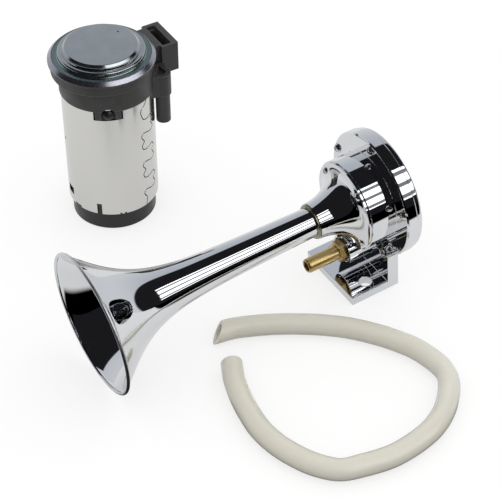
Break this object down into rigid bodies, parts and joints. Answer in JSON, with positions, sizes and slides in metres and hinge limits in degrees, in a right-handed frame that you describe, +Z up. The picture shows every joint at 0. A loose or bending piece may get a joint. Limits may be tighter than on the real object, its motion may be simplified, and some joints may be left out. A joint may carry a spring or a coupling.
{
  "type": "air horn",
  "caption": "Electric air horn: chromed trumpet with a diaphragm housing and foot, its vane compressor in a round can, and a loose plastic hose.",
  "frame": {"origin": "on the surface that everything stands on, in the middle of the footprint of trumpet and compressor, without the hose", "axes": "+X along the trumpet from its mouth to its housing, +Y from the trumpet to the compressor, +Z up"},
  "size_m": [0.2164, 0.333, 0.1299],
  "materials": {
    "chrome": "mirror chrome plating",
    "neck_brass": "dull olive brass",
    "barb_brass": "polished brass",
    "screw_steel": "bright zinc plated steel",
    "nozzle": "smooth moulded plastic",
    "gasket": "matt rubber",
    "spring_steel": "bright spring steel",
    "fibre": "vulcanised fibre",
    "nickel": "nickel plating on rolled steel",
    "black_plastic": "moulded black plastic",
    "terminal_brass": "tinned brass",
    "ferrite": "pressed ferrite",
    "core_steel": "stacked sheet",
    "copper": "enamelled copper wire",
    "commutator_copper": "turned copper",
    "bronze": "sintered bronze",
    "card_fibre": "pressed card",
    "carbon": "carbon graphite",
    "grey_plastic": "moulded dark grey plastic",
    "plate_steel": "ground steel sheet",
    "zinc_plate": "satin zinc plating",
    "milky_hose": "translucent milky plastic"
  },
  "bodies": {
    "kit": {"horn_bell": "chrome", "neck_ring": "neck_brass", "front_cover": "chrome", "front_cover_screws": "screw_steel", "sound_housing": "chrome", "throat_nozzle": "nozzle", "front_gasket": "gasket", "rear_gasket": "gasket", "rear_cover": "chrome", "flange_screws": "screw_steel", "hose_barb": "barb_brass", "barb_washer": "fibre", "motor_can": "nickel", "end_cap": "black_plastic", "terminals": "terminal_brass", "magnets": "ferrite", "lower_bush": "bronze", "upper_bush": "bronze", "brush_card": "card_fibre", "brush_spring_a": "spring_steel", "brush_spring_b": "spring_steel", "pump_head": "grey_plastic", "locking_pin": "black_plastic", "lower_plate": "plate_steel", "pump_ring": "core_steel", "upper_plate": "plate_steel", "top_cover": "zinc_plate", "hose": "milky_hose"},
    "diaphragm": {"diaphragm": "spring_steel"},
    "armature": {"armature_shaft": "plate_steel", "armature_core": "core_steel", "armature_windings": "copper", "commutator": "commutator_copper", "pump_rotor": "card_fibre", "vanes_set": "carbon"},
    "brush_a": {"brush_a": "carbon"},
    "brush_b": {"brush_b": "carbon"}
  },
  "joints": [
    {"name": "diaphragm_pulse", "type": "slide", "parent": "kit", "child": "diaphragm", "axis": [0.9971, 0, 0.0765], "range_m": [0, 0.0004], "stiffness_N_per_m": 4000},
    {"name": "armature_spin", "type": "hinge", "parent": "kit", "child": "armature", "pos_m": [-0.01632, 0.07643, 0.061], "axis": [0, 0, 1], "continuous": true},
    {"name": "brush_a_feed", "type": "slide", "parent": "kit", "child": "brush_a", "axis": [1, 0, 0], "range_m": [0, 0.0025], "stiffness_N_per_m": 200, "springref_m": -0.003, "deforming": ["brush_spring_a"]},
    {"name": "brush_b_feed", "type": "slide", "parent": "kit", "child": "brush_b", "axis": [-1, 0, 0], "range_m": [0, 0.0025], "stiffness_N_per_m": 200, "springref_m": -0.003, "deforming": ["brush_spring_b"]}
  ]
}
